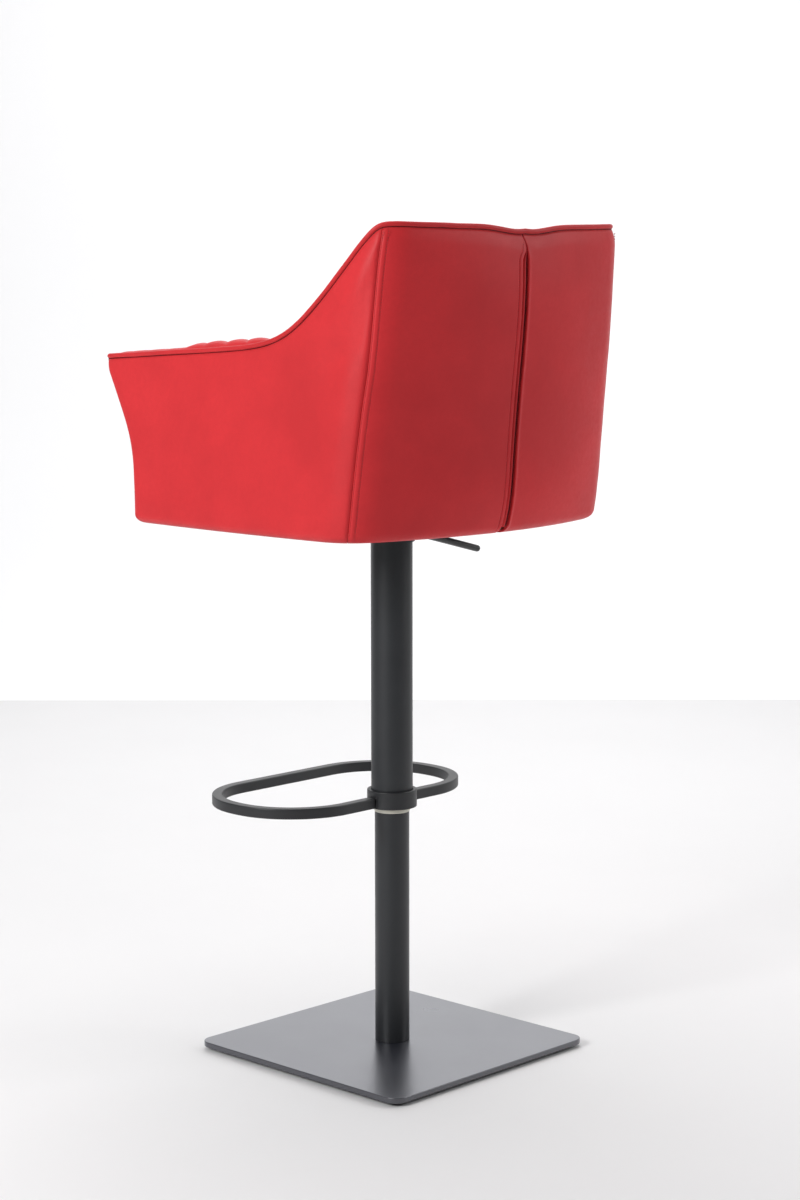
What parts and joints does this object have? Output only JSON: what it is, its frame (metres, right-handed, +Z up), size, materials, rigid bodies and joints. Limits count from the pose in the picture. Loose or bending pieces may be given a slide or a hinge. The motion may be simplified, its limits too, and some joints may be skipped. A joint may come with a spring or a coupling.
{
  "type": "adjustable swivel stool",
  "caption": "Bar stool with an upholstered tub seat and arms on a telescopic gas column, with an oval footrest hoop and a square base plate.",
  "frame": {"origin": "on the floor, on the column's axis", "axes": "+Z up; the seat faces -Y; +X is the sitter's left; base plate edges along X and Y"},
  "size_m": [0.5302, 0.5878, 1.1921],
  "materials": {
    "base_plate": "matt anthracite powder coat",
    "glide_1": "matt black",
    "glide_2": "matt black",
    "glide_3": "matt black",
    "glide_4": "matt black",
    "column_screw_1": "zinc plated",
    "column_screw_2": "zinc plated",
    "column_screw_3": "zinc plated",
    "lower_tube": "matt anthracite powder coat",
    "column_foot": "zinc plated",
    "thrust_washer_lower": "zinc plated",
    "tube_guide_ring": "cream nylon",
    "thrust_bearing": "plain",
    "thrust_washer_upper": "zinc plated",
    "piston_rod": "hard chrome",
    "bump_stop": "black rubber",
    "rod_washer": "zinc plated",
    "rod_clip": "zinc plated",
    "upper_tube": "matt anthracite powder coat",
    "guide_bush": "cream nylon",
    "gas_cylinder": "black paint",
    "footrest_collar": "matt anthracite powder coat",
    "footrest_ring": "matt anthracite powder coat",
    "seat_mount": "black paint",
    "lever_pivot": "zinc plated",
    "mount_screw_1": "zinc plated",
    "mount_screw_2": "zinc plated",
    "mount_screw_3": "zinc plated",
    "mount_screw_4": "zinc plated",
    "seat_board": "moulded plywood",
    "dust_cover": "black non-woven",
    "shell_frame": "moulded plywood",
    "side_cover_left": "red coated imitation leather, fine grain",
    "side_cover_right": "red coated imitation leather, fine grain",
    "back_cover_left": "red coated imitation leather, fine grain",
    "back_cover_right": "red coated imitation leather, fine grain",
    "arm_pad_left": "red coated fabric imitating leather, quilted over foam",
    "arm_pad_right": "red coated fabric imitating leather, quilted over foam",
    "back_pad": "red coated fabric imitating leather, quilted over foam",
    "seat_cushion": "red coated fabric imitating leather, quilted over foam",
    "front_cover": "red coated imitation leather, fine grain",
    "piping": "red coated imitation leather, fine grain",
    "zip_tape": "dark red tape",
    "release_lever": "black paint",
    "valve_pin": "zinc plated"
  },
  "bodies": {
    "base": {"base_plate": "base_plate", "glide_1": "glide_1", "glide_2": "glide_2", "glide_3": "glide_3", "glide_4": "glide_4", "column_screw_1": "column_screw_1", "column_screw_2": "column_screw_2", "column_screw_3": "column_screw_3", "lower_tube": "lower_tube", "column_foot": "column_foot", "thrust_washer_lower": "thrust_washer_lower", "tube_guide_ring": "tube_guide_ring"},
    "spindle": {"thrust_bearing": "thrust_bearing", "thrust_washer_upper": "thrust_washer_upper", "piston_rod": "piston_rod", "bump_stop": "bump_stop", "rod_washer": "rod_washer", "rod_clip": "rod_clip"},
    "seat": {"upper_tube": "upper_tube", "guide_bush": "guide_bush", "gas_cylinder": "gas_cylinder", "footrest_collar": "footrest_collar", "footrest_ring": "footrest_ring", "seat_mount": "seat_mount", "lever_pivot": "lever_pivot", "mount_screw_1": "mount_screw_1", "mount_screw_2": "mount_screw_2", "mount_screw_3": "mount_screw_3", "mount_screw_4": "mount_screw_4", "seat_board": "seat_board", "dust_cover": "dust_cover", "shell_frame": "shell_frame", "side_cover_left": "side_cover_left", "side_cover_right": "side_cover_right", "back_cover_left": "back_cover_left", "back_cover_right": "back_cover_right", "arm_pad_left": "arm_pad_left", "arm_pad_right": "arm_pad_right", "back_pad": "back_pad", "seat_cushion": "seat_cushion", "front_cover": "front_cover", "piping": "piping", "zip_tape": "zip_tape"},
    "lever": {"release_lever": "release_lever"},
    "valve": {"valve_pin": "valve_pin"}
  },
  "joints": [
    {"name": "swivel", "type": "hinge", "parent": "base", "child": "spindle", "pos_m": [0, 0, 0.047], "axis": [0, 0, 1], "continuous": true},
    {"name": "height", "type": "slide", "parent": "spindle", "child": "seat", "axis": [0, 0, 1], "range_m": [-0.21, 0]},
    {"name": "lever_lift", "type": "hinge", "parent": "seat", "child": "lever", "pos_m": [-0.022, 0, 0.7605], "axis": [0, 1, 0], "range_deg": [0, 6], "stiffness_Nm_per_rad": 1.5, "springref_deg": -8.59},
    {"name": "valve_press", "type": "slide", "parent": "seat", "child": "valve", "axis": [0, 0, 1], "range_m": [-0.0024, 0]}
  ],
  "couplings": [
    {"joint": "valve_press", "follows": "lever_lift", "m_per_rad": -0.022}
  ]
}
